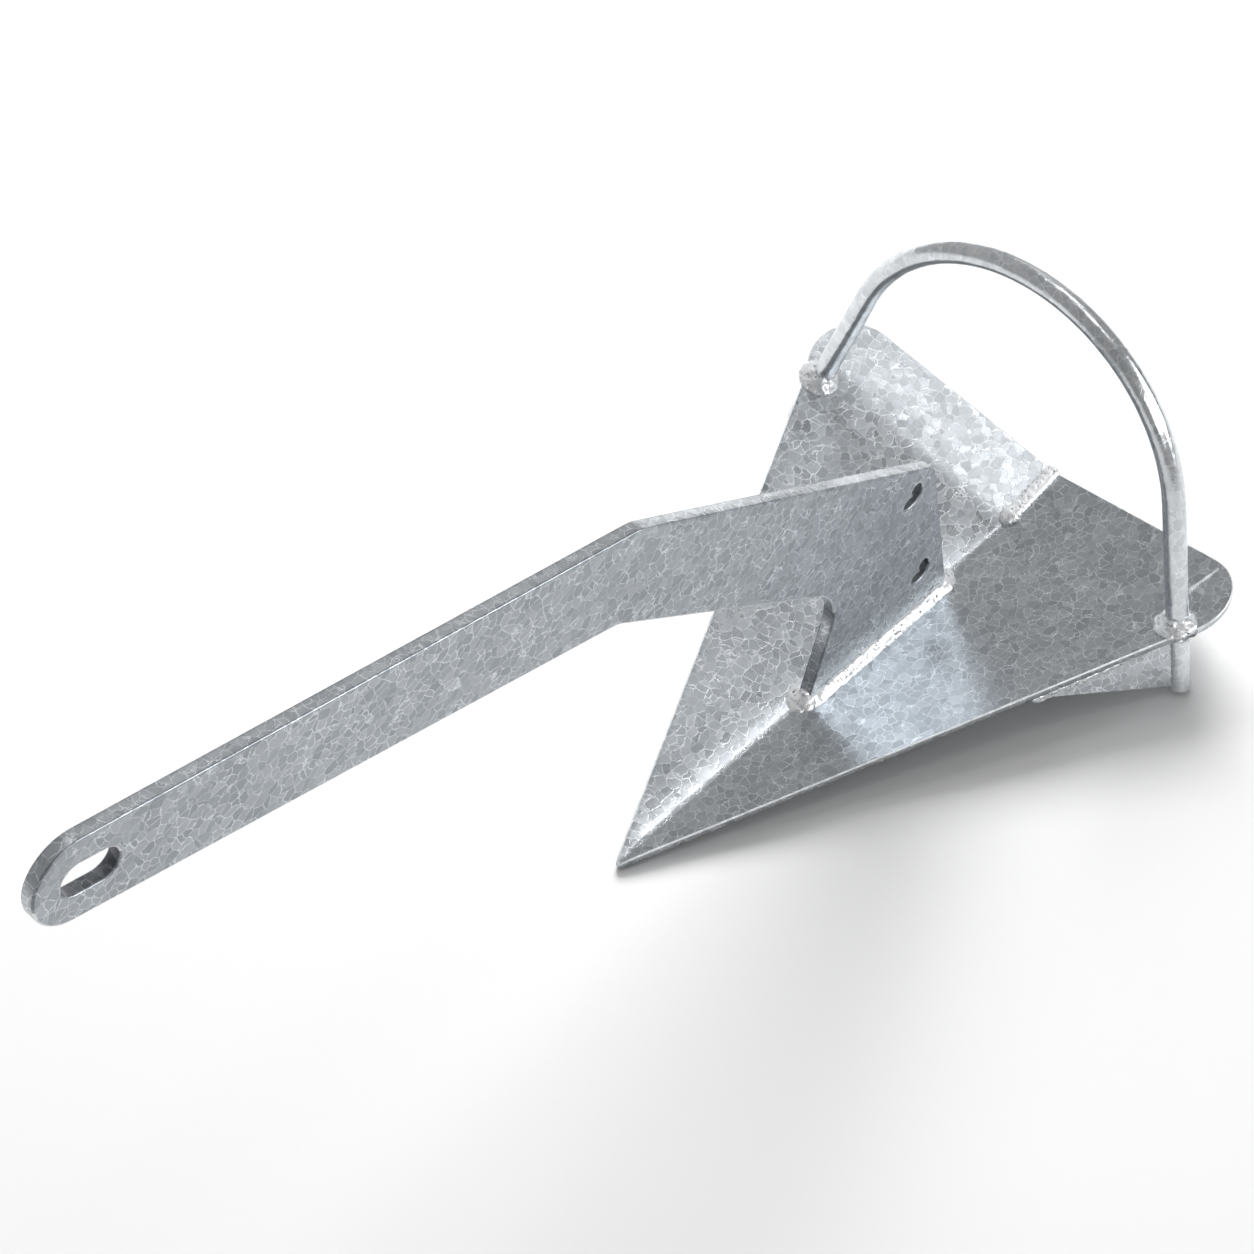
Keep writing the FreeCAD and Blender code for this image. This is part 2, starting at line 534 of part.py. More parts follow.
# Weld in the heel seam: a rounded ridge along the valley between the two rear flaps
half_b, rise_b = size("heel_bead") / 2, size("heel_bead_rise")
seam_slope = facets[2][2]
edge_z = seam_slope * half_b
bead_r = (half_b ** 2 + (rise_b - edge_z) ** 2) / (2 * (rise_b - edge_z))
centre_z = rise_b - bead_r
lift = math.radians(size("lift_rear_angle"))
seam_dir = Vector(math.cos(lift), 0, math.sin(lift))
seam_a = at(x2 + half_b, 0, rise + g2 * half_b + centre_z)
seam_len = (length - x2 - half_b) / seam_dir.x + bead_r
rod = Part.makeCylinder(bead_r, seam_len, seam_a, seam_dir).fuse(
    Part.makeSphere(bead_r, seam_a)).removeSplitter()
heel_rod = posed(doc.addObject("Part::Feature", "HeelRod"), rod)
heel_in = doc.addObject("Part::Common", "HeelSeated")
heel_in.Base = heel_rod
heel_in.Tool = scoop
heel_weld = doc.addObject("Part::Common", "HeelWeld")
heel_weld.Base = heel_in
heel_weld.Tool = blank
heel_weld.Label = "heel_weld"
doc.recompute()

# Welds round the roll bar: a collar above the plate, and below it one run round the stub and on
# along both sides of the skid
collar = size("collar_bead")
made = [("shank", shank), ("fluke", fluke), ("roll_bar", roll_bar), ("shank_weld", shank_weld),
        ("heel_weld", heel_weld)]
for name, sgn in (("left", -1), ("right", 1)):
    skid, foot, e, d, y_axis, heel_low = skids[name]
    made.append(("skid_" + name, skid))
    deepest = 1.2 * collar
    ring_top = doc.addObject("Part::Cone", "CollarTop_" + name)
    ring_top.setExpression("Radius1", "Sizes.bar_diameter / 2 + 2.2 * Sizes.collar_bead")
    ring_top.setExpression("Radius2", "Sizes.bar_diameter / 2 - 0.2 * Sizes.collar_bead")
    ring_top.setExpression("Height", "2.4 * Sizes.collar_bead")
    ring_top.Placement = Placement(foot.add(d * deepest), Rotation(Vector(0, 0, 1), d * -1))
    seated = doc.addObject("Part::Common", "CollarSeated_" + name)
    seated.Base = ring_top
    seated.Tool = scoop
    hoop_weld = doc.addObject("Part::Cut", "HoopWeld_" + name)
    hoop_weld.Base = seated
    hoop_weld.Tool = roll_bar
    hoop_weld.Label = "hoop_weld_" + name
    made.append(("hoop_weld_" + name, hoop_weld))

    ring_low = doc.addObject("Part::Cone", "CollarLow_" + name)
    ring_low.setExpression("Radius1", "Sizes.bar_diameter / 2 + 2.2 * Sizes.collar_bead")
    ring_low.setExpression("Radius2", "Sizes.bar_diameter / 2 - 0.2 * Sizes.collar_bead")
    ring_low.setExpression("Height", "2.4 * Sizes.collar_bead")
    ring_low.Placement = Placement(foot.add(d * (plate - deepest)), Rotation(Vector(0, 0, 1), d))

    # a ridge along both sides of the skid and round its front point, on the underside of the wing
    # and no wider than the wing is there
    ridge_r = size("skid_plate") / 2 + size("skid_bead")
    normal = Vector(0, -sgn * math.sin(leg), math.cos(leg))
    level = plate / -normal.dot(y_axis)
    shown = skid_run.Length - (skid_run.Length - heel_low.x) * level / heel_low.y
    front = foot.add(e * (shown - size("skid_plate") / 2)).sub(normal * plate)
    back = foot.add(e * bar_r).sub(normal * plate)
    ridge = Part.makeCylinder(ridge_r, front.sub(back).Length, back, front.sub(back)).fuse(
        Part.makeSphere(ridge_r, front)).removeSplitter()
    ridge_obj = posed(doc.addObject("Part::Feature", "SkidRidge_" + name), ridge)
    ridge_in = doc.addObject("Part::Common", "SkidRidgeWithin_" + name)
    ridge_in.Base = ridge_obj
    ridge_in.Tool = blank
    run = doc.addObject("Part::MultiFuse", "WeldUnderWing_" + name)
    run.Shapes = [ring_low, ridge_in]
    beside = doc.addObject("Part::MultiFuse", "SkidNeighbours_" + name)
    beside.Shapes = [hull, skid, roll_bar]
    skid_weld = doc.addObject("Part::Cut", "SkidWeld_" + name)
    skid_weld.Base = run
    skid_weld.Tool = beside
    skid_weld.Label = "skid_weld_" + name
    doc.recompute()
    made.append(("skid_weld_" + name, skid_weld))

# Every object is sound before anything is written
doc.recompute()
for obj in doc.Objects:
    if "Invalid" in obj.State or "Error" in obj.State:
        raise RuntimeError("object failed: " + obj.Name)
for name, obj in made:
    shape = obj.Shape
    if shape.isNull() or not shape.isValid() or not shape.Solids:
        raise RuntimeError("bad shape: " + name)
for name, obj in made:
    obj.Shape.exportStep("parts/%s.step" % name)
    b = obj.Shape.BoundBox
    print("%-16s solids %d volume %10.1f  x %7.1f %7.1f  y %7.1f %7.1f  z %7.1f %7.1f" % (
        name, len(obj.Shape.Solids), obj.Shape.Volume, b.XMin, b.XMax, b.YMin, b.YMax, b.ZMin, b.ZMax))
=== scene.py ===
import math
import bpy
import bmesh
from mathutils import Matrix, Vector, noise
from mathutils.geometry import delaunay_2d_cdt


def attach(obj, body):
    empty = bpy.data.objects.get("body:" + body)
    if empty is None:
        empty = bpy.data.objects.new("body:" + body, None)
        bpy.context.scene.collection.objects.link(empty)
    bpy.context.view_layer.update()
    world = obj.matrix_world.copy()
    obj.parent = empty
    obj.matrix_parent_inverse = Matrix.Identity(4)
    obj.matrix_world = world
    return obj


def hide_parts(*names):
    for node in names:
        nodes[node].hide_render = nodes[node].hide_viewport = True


# A scoop anchor in hot-dip galvanised steel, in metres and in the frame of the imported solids:
# +x runs from the fluke's tip to its heel, +y to the far side and +z up, with the floor at z = 0.
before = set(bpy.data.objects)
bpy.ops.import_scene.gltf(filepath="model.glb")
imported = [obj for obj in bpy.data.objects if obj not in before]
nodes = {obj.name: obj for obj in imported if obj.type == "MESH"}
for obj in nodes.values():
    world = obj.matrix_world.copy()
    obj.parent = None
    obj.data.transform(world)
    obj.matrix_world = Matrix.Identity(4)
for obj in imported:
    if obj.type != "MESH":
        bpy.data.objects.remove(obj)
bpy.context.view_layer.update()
scene = bpy.context.scene

# The camera that was fitted to the photograph; lens and sensor are in millimetres
CAMERA_PLACE = (-0.89671, -0.93777, 1.96627)
CAMERA_TURN = (0.647918, 0.025662, -0.799696)
CAMERA_LENS = 101.484
CAMERA_SENSOR = 36.0
CAMERA_REACH = 50.0

# The fluke's plan is drawn with x from the tip and y from the keel. Its sizes are the solid's own.
HEEL = 0.43325                      # the heel's x in the frame of the part
LENGTH = 0.450                      # from tip to heel
TIP = HEEL - LENGTH
PLATE = 0.006                       # thickness
WING = math.radians(16.1)           # slope of each half, up from the keel
KEEL = PLATE / math.cos(WING)       # z of the top face at the keel, where the underside is at 0
SIDE = math.radians(24.6)           # angle between the keel and a side edge
SWEEP = math.radians(4.8)           # lean of the rear edge
EAR_R, EAR_OVER = 0.0355, 0.00227   # radius of an ear, and how far its round passes the side edge
EAR_IN = EAR_R - EAR_OVER           # from the ear's centre to the line of the side edge
TIP_HALF = 0.002                    # half the width of the blunt tip
FOOT_X, FOOT_IN = 0.382, 0.01145    # the roll bar's foot: along, and in from the side edge
FOOT = Vector((FOOT_X, (FOOT_X * math.sin(SIDE) - FOOT_IN) / math.cos(SIDE)))
# Where each crease leaves the keel, and the rise of the keel behind it
CREASES = ((0.338, math.radians(3.0)), (0.397, math.radians(11.0)))

# What the detailed fluke has besides
FLUKE_RIM = 0.0011                  # radius of its rounded rims
RIM_STEPS = 4
FOLD = 0.0008                       # the height over which the keel fold is eased
CREASE_FOLDS = (0.0006, 0.0012)     # the same for the two creases
EASE, EASE_OUT = 0.19, 0.014        # the filled valley: its slope at the keel, and its reach
EASE_END, EASE_END_RUN = 0.392, 0.05    # where it ends, and the length over which it fades out
EASE_TIP_RUN = 0.03                 # the length over which it fades in from the tip
# A drip of zinc that froze across the near ear: its line in the plan, height and half width
DRIP = (Vector((0.4060, -0.1515)), Vector((0.4335, -0.1580)))
DRIP_HEIGHT, DRIP_HALF = 0.0008, 0.0011
DRIP_SIDE = -0.14                   # nothing nearer to the keel than this belongs to it
DRIP_HIGHLIGHT_HALF, DRIP_TAPER = 0.0016, 1.15   # half width of the painted highlight along it, and how that tapers
GRID = 0.0036                       # spacing of the fluke's inner points

# The shank's profile, as x and z of the part; a corner's third number is its radius
HALF = 0.005                        # half its thickness
SHANK_RIM = 0.0013                  # radius of its rounded rims
RING, RING_R = Vector((-0.40275, 0.429745)), 0.0305     # the arm's round end; the slot starts here
SLOT_END, SLOT_R = Vector((-0.38652, 0.42469)), 0.0115
FOOT_SUNK = 0.0001                  # how far the foot's edges go below the fluke's top face
FOOT_Z = KEEL + HALF * math.tan(WING) - FOOT_SUNK
BEND_TOP = (0.01525, 0.338745, 0.026)
BEND_LOW = (-0.00695, 0.267245, 0.026)
NOTCH = (0.20005, 0.101145, 0.044)
FOOT_FRONT, FOOT_REAR = (0.16725, FOOT_Z, 0.0), (0.31125, FOOT_Z, 0.0)
SHOULDER = (0.29025, 0.154245, 0.013)
EYES = ((0.26775, 0.143245), (0.28025, 0.051245))
EYE_R, EYE_WIDTH = 0.006, 0.0092    # the bent eye: radius of its middle line, and width
EYE_SWEEP, EYE_TURN = 150.0, -40.0  # degrees

SHARP = math.radians(40)            # edges of the shank that turn by more than this stay crisp
SHARPEST = 0.3                      # least cosine of half a corner's turn that an inset follows
WHOLE, INSIDE = 0, 1                # what a triangulation keeps: all of it, or a face's inside


# Camera
def make_camera():
    data = bpy.data.cameras.new("camera")
    data.lens = CAMERA_LENS
    data.sensor_width = CAMERA_SENSOR
    data.clip_end = CAMERA_REACH
    cam = bpy.data.objects.new("camera", data)
    cam.location = CAMERA_PLACE
    cam.rotation_euler = CAMERA_TURN
    scene.collection.objects.link(cam)
    scene.camera = cam


# Materials
def grey(level):
    return (level, level, level)


class Graph:
    """A new material, and short ways to add nodes to it."""

    def __init__(self, name):
        self.material = bpy.data.materials.new(name)
        self.material.use_nodes = True
        self.tree = self.material.node_tree
        self.tree.nodes.clear()

    def add(self, kind, **values):
        node = self.tree.nodes.new(kind)
        for key, value in values.items():
            setattr(node, key, value)
        return node

    def link(self, a, b):
        self.tree.links.new(a, b)

    def place(self):
        return self.add("ShaderNodeTexCoord").outputs["Object"]

    def math(self, op, a, b, clamp=False):
        n = self.add("ShaderNodeMath", operation=op, use_clamp=clamp)
        for socket, value in zip(n.inputs, (a, b)):
            if isinstance(value, (int, float)):
                socket.default_value = value
            else:
                self.link(value, socket)
        return n.outputs[0]

    def blend(self, *parts, clamp=False):
        """The sum of values, each times its own weight, held between 0 and 1 if clamp."""
        total = self.math("MULTIPLY", *parts[0])
        for i, part in enumerate(parts[1:], 2):
            total = self.math("ADD", total, self.math("MULTIPLY", *part), clamp and i == len(parts))
        return total

    def ramp(self, value, stops):
        n = self.add("ShaderNodeValToRGB")
        while len(n.color_ramp.elements) < len(stops):
            n.color_ramp.elements.new(0.5)
        for element, (position, colour) in zip(n.color_ramp.elements, stops):
            element.position = position
            element.color = (*colour, 1.0)
        self.link(value, n.inputs[0])
        return n.outputs[0]

    def mix(self, factor, a, b):
        n = self.add("ShaderNodeMix", data_type="RGBA")
        self.link(factor, n.inputs[0])
        for socket, value in ((n.inputs[6], a), (n.inputs[7], b)):
            if isinstance(value, tuple):
                socket.default_value = (*value, 1.0)
            else:
                self.link(value, socket)
        return n.outputs[2]

    def noise(self, place, scale, detail=2.0, rough=0.5, out="Fac"):
        n = self.add("ShaderNodeTexNoise")
        n.inputs["Scale"].default_value = scale
        n.inputs["Detail"].default_value = detail
        n.inputs["Roughness"].default_value = rough
        self.link(place, n.inputs["Vector"])
        return n.outputs[out]

    def voronoi(self, place, scale, feature="F1", out="Color"):
        n = self.add("ShaderNodeTexVoronoi", feature=feature)
        n.inputs["Scale"].default_value = scale
        self.link(place, n.inputs["Vector"])
        return n.outputs[out]

    def channels(self, colour):
        n = self.add("ShaderNodeSeparateColor")
        self.link(colour, n.inputs[0])
        return n.outputs

    def around_zero(self, colour, amount):
        """A colour as a vector, less a half each way and times the amount."""
        less = self.add("ShaderNodeVectorMath", operation="SUBTRACT")
        self.link(colour, less.inputs[0])
        less.inputs[1].default_value = (0.5, 0.5, 0.5)
        times = self.add("ShaderNodeVectorMath", operation="SCALE")
        self.link(less.outputs[0], times.inputs[0])
        times.inputs["Scale"].default_value = amount
        return times.outputs[0]

    def plus(self, a, b):
        n = self.add("ShaderNodeVectorMath", operation="ADD")
        self.link(a, n.inputs[0])
        self.link(b, n.inputs[1])
        return n.outputs[0]

    def warped(self, place, scale, amount):
        colour = self.noise(place, scale, 1.5, out="Color")
        return self.plus(place, self.around_zero(colour, amount))

    def leaning(self, colour, tilt):
        """The surface's normal, leant a little by the crystal's own colour."""
        normal = self.add("ShaderNodeNewGeometry").outputs["Normal"]
        unit = self.add("ShaderNodeVectorMath", operation="NORMALIZE")
        self.link(self.plus(normal, self.around_zero(colour, tilt)), unit.inputs[0])
        return unit.outputs[0]

    def between(self, value, low, high):
        n = self.add("ShaderNodeMapRange")
        self.link(value, n.inputs["Value"])
        n.inputs["To Min"].default_value = low
        n.inputs["To Max"].default_value = high
        return n.outputs[0]

    def bumped(self, shader, height, strength, distance, normal=None):
        n = self.add("ShaderNodeBump")
        n.inputs["Strength"].default_value = strength
        n.inputs["Distance"].default_value = distance
        self.link(height, n.inputs["Height"])
        if normal is not None:
            self.link(normal, n.inputs["Normal"])
        self.link(n.outputs[0], shader.inputs["Normal"])

    def metal(self, colour, metallic):
        shader = self.add("ShaderNodeBsdfPrincipled")
        shader.inputs["Metallic"].default_value = metallic
        self.link(colour, shader.inputs["Base Color"])
        return shader

    def finish(self, shader):
        out = self.add("ShaderNodeOutputMaterial")
        self.link(shader.outputs[0], out.inputs[0])
        return self.material


def galvanised(name, cells=150.0, dark=(0.355, 0.378, 0.40), light=(0.515, 0.542, 0.568),
               line=(0.82, 0.85, 0.88), rough=(0.24, 0.32), tilt=0.032, bump=0.18, metal=0.92):
    """Spangled zinc: crystals of slightly different grey and slope, with thin paler borders.

    cells are crystals per metre, dark and light the range of their greys, line the borders' colour,
    rough the range of their roughness, and tilt how far each leans.
    """
    # a warp is its scale and its reach in metres, a noise its scale, detail and roughness
    wide_warp, narrow_warp, small_warp = (170.0, 0.0036), (480.0, 0.0012), (420.0, 0.002)
    cloud_noise, grit_noise = (26.0, 3.0, 0.55), (900.0, 2.0, 0.6)
    patch_scale, wave_scale = 95.0, 140.0
    small_share = 2.3       # small crystals to the length of a large one
    bump_depth = 0.0006
    g = Graph(name)
    place = g.place()
    bent = g.warped(g.warped(place, *wide_warp), *narrow_warp)
    crystal = g.voronoi(bent, cells)
    tone, gloss = g.channels(crystal)[:2]
    small = g.voronoi(g.warped(place, *small_warp), cells * small_share)
    cloud = g.noise(place, *cloud_noise)
    grit = g.noise(place, *grit_noise)
    # a crystal's own grey, smaller crystals inside it, slow clouds and fine grit
    shade = g.blend((tone, 0.80), (g.channels(small)[0], 0.22),
                    (g.math("SUBTRACT", cloud, 0.5), 0.7),
                    (g.math("SUBTRACT", grit, 0.5), 0.14), clamp=True)
    # the borders fade in and out along their way
    edge = g.voronoi(bent, cells, "DISTANCE_TO_EDGE", "Distance")
    border = g.ramp(edge, [(0.0, grey(1.0)), (0.026, grey(0.8)), (0.062, grey(0.0))])
    patches = g.ramp(g.noise(place, patch_scale), [(0.34, grey(0.15)), (0.60, grey(0.85))])
    border = g.math("MULTIPLY", border, patches)
    shader = g.metal(g.mix(border, g.mix(shade, dark, light), line), metal)
    g.link(g.between(gloss, *rough), shader.inputs["Roughness"])
    height = g.blend((border, 0.6), (grit, 0.06), (g.noise(place, wave_scale), 1.2))
    g.bumped(shader, height, bump, bump_depth, g.leaning(crystal, tilt))
    return g.finish(shader)


def weld_zinc(name):
    """Bright zinc on a hand-laid bead, with small dark pits."""
    blot_noise, pit_noise, pit_warp = (260.0, 3.0, 0.6), (430.0, 2.0, 0.55), (300.0, 0.004)
    pit_colour = (0.13, 0.14, 0.15)
    metallic, roughness, bump, bump_depth = 0.55, 0.32, 0.5, 0.0008
    g = Graph(name)
    place = g.place()
    blot = g.noise(place, *blot_noise)
    colour = g.ramp(blot, [(0.28, (0.42, 0.44, 0.46)), (0.42, (0.80, 0.82, 0.84)),
                           (0.70, (0.95, 0.96, 0.97))])
    pits = g.ramp(g.noise(g.warped(place, *pit_warp), *pit_noise),
                  [(0.62, grey(0.0)), (0.67, grey(1.0))])
    shader = g.metal(g.mix(pits, colour, pit_colour), metallic)
    shader.inputs["Roughness"].default_value = roughness
    g.bumped(shader, g.blend((blot, 1.0), (pits, -0.6)), bump, bump_depth)
    return g.finish(shader)


# Helpers
def dress(obj, material):
    obj.data.materials.clear()
    obj.data.materials.append(material)


def mesh_object(name, bm, materials, instead):
    """A piece made of the mesh, riding on the part in place of one of its nodes."""
    me = bpy.data.meshes.new(name)
    bm.normal_update()
    bm.to_mesh(me)
    bm.free()
    obj = bpy.data.objects.new(name, me)
    scene.collection.objects.link(obj)
    for material in materials:
        me.materials.append(material)
    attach(obj, "root")
    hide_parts(instead)
    return obj


def within(p, loop):
    """Whether a point lies inside a loop: the sides beside it are an odd number."""
    hit = False
    for i in range(len(loop)):
        a, b = loop[i - 1], loop[i]
        if (a.y > p.y) != (b.y > p.y) and p.x < (b.x - a.x) * (p.y - a.y) / (b.y - a.y) + a.x:
            hit = not hit
    return hit


def inward(loop, i):
    """At a loop's corner, the step to the left of the way round that moves both sides by one."""
    a, b, c = loop[i - 1], loop[i], loop[(i + 1) % len(loop)]
    d1, d2 = (b - a).normalized(), (c - b).normalized()
    m = Vector((-(d1 + d2).y, (d1 + d2).x)).normalized()
    return m / max(SHARPEST, m.dot(Vector((-d1.y, d1.x))))


def inset(loop, amount):
    return [p + inward(loop, i) * amount for i, p in enumerate(loop)]


def quarter_turn():
    return [math.pi / 2 * k / RIM_STEPS for k in range(1, RIM_STEPS + 1)]


def numbers_of(origin):
    """For each point given to the triangulation, the number of the vertex that it became."""
    return {j: i for i, came in enumerate(origin) for j in came}


# Fluke
def fluke_facets():
    """Height over KEEL of the wing, the narrow facet and the flap, as k + gx * x + gy * |y|."""
    slope = math.tan(WING)
    (x1, lift1), (x2, lift2) = CREASES
    g1, g2 = math.tan(lift1), math.tan(lift2)
    rise = g1 * (x2 - x1)
    return [
        (0.0, 0.0, slope),
        (-g1 * x1, g1, slope - g1 * (FOOT.x - x1) / FOOT.y),
        (rise - g2 * x2, g2, (slope * FOOT.y - rise - g2 * (FOOT.x - x2)) / FOOT.y),
    ]


FACETS = fluke_facets()


def soft_max(a, b, width):
    """The higher of two planes, with the fold between them eased."""
    h = max(width - abs(a - b), 0.0) / width
    return max(a, b) + h * h * width * 0.25


def along_drip(p):
    """How far along the drip a point of the plan lies, from 0 to 1, and its distance from it."""
    a, b = DRIP
    t = (p - a).dot(b - a) / (b - a).length_squared
    return t, (a.lerp(b, min(1.0, max(0.0, t))) - p).length


def fluke_height(x, y, drop):
    """Height over KEEL of the folded plate's top (drop 0) or underside (drop the thickness)."""
    side = 1.0 if y >= 0 else -1.0
    halves = []
    for s in (side, -side):
        wing, facet, flap = (k + gx * x + gy * s * y - drop * math.sqrt(1 + gx * gx + gy * gy)
                             for k, gx, gy in FACETS)
        halves.append(soft_max(soft_max(wing, facet, CREASE_FOLDS[0]), flap, CREASE_FOLDS[1]))
    h = soft_max(*halves, FOLD)
    if drop == 0.0:
        fade = min(1.0, max(0.0, (EASE_END - x) / EASE_END_RUN)) * min(1.0, x / EASE_TIP_RUN)
        h += EASE * EASE_OUT * math.exp(-abs(y) / EASE_OUT) * fade
        if y < DRIP_SIDE:
            _, gap = along_drip(Vector((x, y)))
            h += DRIP_HEIGHT * math.exp(-(gap / DRIP_HALF) ** 2)
    return h


def planform(step=0.003, ear_steps=26):
    """The plate's plan, counterclockwise from the middle of the rear edge."""
    ear_y = ((LENGTH - EAR_R / math.cos(SWEEP)) * math.sin(SIDE) - EAR_IN) / (
        math.cos(SIDE) + math.tan(SWEEP) * math.sin(SIDE))
    ear_x = LENGTH - math.tan(SWEEP) * ear_y - EAR_R / math.cos(SWEEP)
    along = ear_x * math.cos(SIDE) + ear_y * math.sin(SIDE) - math.sqrt(EAR_R ** 2 - EAR_IN ** 2)
    side_end = Vector((along * math.cos(SIDE), along * math.sin(SIDE)))
    first, last = SWEEP, math.atan2(side_end.y - ear_y, side_end.x - ear_x)
    half = [Vector((LENGTH, 0.0))]

    def run(a, b):
        n = max(1, round((b - a).length / step))
        for i in range(1, n + 1):
            half.append(a.lerp(b, i / n))

    run(half[0], Vector((ear_x + EAR_R * math.cos(first), ear_y + EAR_R * math.sin(first))))
    for i in range(1, ear_steps + 1):
        t = first + (last - first) * i / ear_steps
        half.append(Vector((ear_x + EAR_R * math.cos(t), ear_y + EAR_R * math.sin(t))))
    run(half[-1], Vector((TIP_HALF / math.tan(SIDE), TIP_HALF)))
    return half + [Vector((p.x, -p.y)) for p in reversed(half[1:])]


def grid_points(inner):
    """Rows of points across the plate, close together at the keel."""
    keel_rows = [0.0, 0.0006, 0.0013, 0.0021, 0.0030, 0.0042, 0.0060]
    first_row, over_edge = 0.0090, 0.01
    pts = []
    for i in range(1, int(LENGTH / GRID)):
        x = i * GRID
        top = max((p.y for p in inner if abs(p.x - x) < GRID), default=0.0)
        limit = min(x * math.tan(SIDE), top + over_edge)
        rows = list(keel_rows)
        y = first_row
        while y < limit:
            rows.append(y)
            y += GRID
        for row in rows:
            shift = 0.5 * GRID if int(round(row / GRID)) % 2 else 0.0
            for s in ((1.0, -1.0) if row > 0 else (1.0,)):
                pts.append(Vector((x + shift, s * row)))
    return pts


def crease_points(count=60, beside=(-0.0028, -0.0012, 0.0, 0.0012, 0.0028)):
    pts = []
    for start, _ in CREASES:
        a = Vector((start, 0.0))
        for i in range(1, count):
            q = a.lerp(FOOT, i / count)
            for off in beside:
                for s in (1.0, -1.0):
                    pts.append(Vector((q.x + off, s * q.y)))
    return pts


def drip_points(count=30, beside=(-0.0022, -0.0011, 0.0, 0.0011, 0.0022)):
    a, b = DRIP
    across = Vector((-(b - a).y, (b - a).x)).normalized()
    return [a.lerp(b, i / count) + across * off for i in range(count + 1) for off in beside]


def build_fluke():
    blunt_tip = 0.012                       # no inner points ahead of this
    same_point = 1e-5
    loop = planform()
    n = len(loop)
    inner = inset(loop, FLUKE_RIM)
    guard = inset(loop, 2 * FLUKE_RIM)      # the inner points stay within this
    extra = grid_points(inner) + crease_points() + drip_points()
    pts = inner + [p for p in extra if p.x > blunt_tip and within(p, guard)]
    edges = [(i, (i + 1) % n) for i in range(n)]
    verts, _, faces, origin, _, _ = delaunay_2d_cdt(
        pts, edges, [list(range(n))], INSIDE, same_point)
    number = numbers_of(origin)

    bm = bmesh.new()
    top, low = ([bm.verts.new((TIP + v.x, v.y, KEEL + fluke_height(v.x, v.y, drop))) for v in verts]
                for drop in (0.0, PLATE))
    for f in faces:
        bm.faces.new([top[i] for i in f])
        bm.faces.new([low[i] for i in reversed(f)])

    turn = quarter_turn()
    rings = [[top[number[i]] for i in range(n)]]
    for sign, drop, angles in ((1, 0.0, turn), (-1, PLATE, turn[::-1])):
        for t in angles:
            ring = []
            for p, q in zip(loop, inset(loop, FLUKE_RIM * (1 - math.sin(t)))):
                z = KEEL + fluke_height(p.x, p.y, drop) - sign * FLUKE_RIM * (1 - math.cos(t))
                ring.append(bm.verts.new((TIP + q.x, q.y, z)))
            rings.append(ring)
    rings.append([low[number[i]] for i in range(n)])
    # the upper rims take a painted highlight (a brighter copy of the zinc), the lower rims a
    # painted shade (a darker copy)
    plate, painted_highlight_slot, shaded = 0, 1, 2
    for k, (a, b) in enumerate(zip(rings, rings[1:])):
        for i in range(n):
            j = (i + 1) % n
            f = bm.faces.new((a[i], b[i], b[j], a[j]))
            f.material_index = painted_highlight_slot if k < RIM_STEPS else plate if k == RIM_STEPS else shaded
    bmesh.ops.recalc_face_normals(bm, faces=bm.faces)
    obj = mesh_object("fluke_plate", bm, (PLATE_ZINC, PAINTED_HIGHLIGHT_ZINC, PAINTED_SHADE_ZINC),
                      "fluke")

    # the drip's faces carry a painted highlight: a bright band along it that tapers
    for poly in obj.data.polygons:
        poly.use_smooth = True
        t, gap = along_drip(Vector((poly.center.x - TIP, poly.center.y)))
        if 0.0 < t < 1.0 and poly.normal.z > 0.0 and gap < DRIP_HIGHLIGHT_HALF * (DRIP_TAPER - t):
            poly.material_index = painted_highlight_slot


# Shank
def arc(cx, cz, r, first, last, n):
    return [Vector((cx + r * math.cos(first + (last - first) * i / n),
                    cz + r * math.sin(first + (last - first) * i / n))) for i in range(n + 1)]


def rounded(corners, n=10):
    """A polygon whose corners are rounded by their own radius; a corner is x, z, radius."""
    out = []
    for i, (x, z, r) in enumerate(corners):
        p = Vector((x, z))
        if r == 0:
            out.append(p)
            continue
        before, after = Vector(corners[i - 1][:2]), Vector(corners[(i + 1) % len(corners)][:2])
        d1, d2 = (p - before).normalized(), (after - p).normalized()
        turn = math.atan2(d1.x * d2.y - d1.y * d2.x, d1.dot(d2))
        side = 1.0 if turn > 0 else -1.0
        start = p - d1 * (r * math.tan(abs(turn) / 2))
        centre = start + Vector((-d1.y, d1.x)) * (side * r)
        base = math.atan2((start - centre).y, (start - centre).x)
        out += arc(centre.x, centre.y, r, base, base + turn, n)
    return out


def shank_outline(ring_steps=36):
    """The arm's round end, the bend's corners, the notch, the foot and the rear edge."""

    def tangent(p, side):
        # direction from the ring's centre to the point where the line to p touches it
        d = Vector(p[:2]) - RING
        return math.atan2(d.y, d.x) + side * math.acos(RING_R / d.length)

    upper, lower = tangent(BEND_TOP, 1.0), tangent(BEND_LOW, -1.0)
    end = arc(RING.x, RING.y, RING_R, upper, lower + 2 * math.pi, ring_steps)
    return rounded([(e.x, e.y, 0.0) for e in end]
                   + [BEND_LOW, NOTCH, FOOT_FRONT, FOOT_REAR, SHOULDER, BEND_TOP])


def slot_outline(n=18):
    way = math.atan2((SLOT_END - RING).y, (SLOT_END - RING).x)
    return (arc(RING.x, RING.y, SLOT_R, way + 0.5 * math.pi, way + 1.5 * math.pi, n)
            + arc(SLOT_END.x, SLOT_END.y, SLOT_R, way - 0.5 * math.pi, way + 0.5 * math.pi, n))


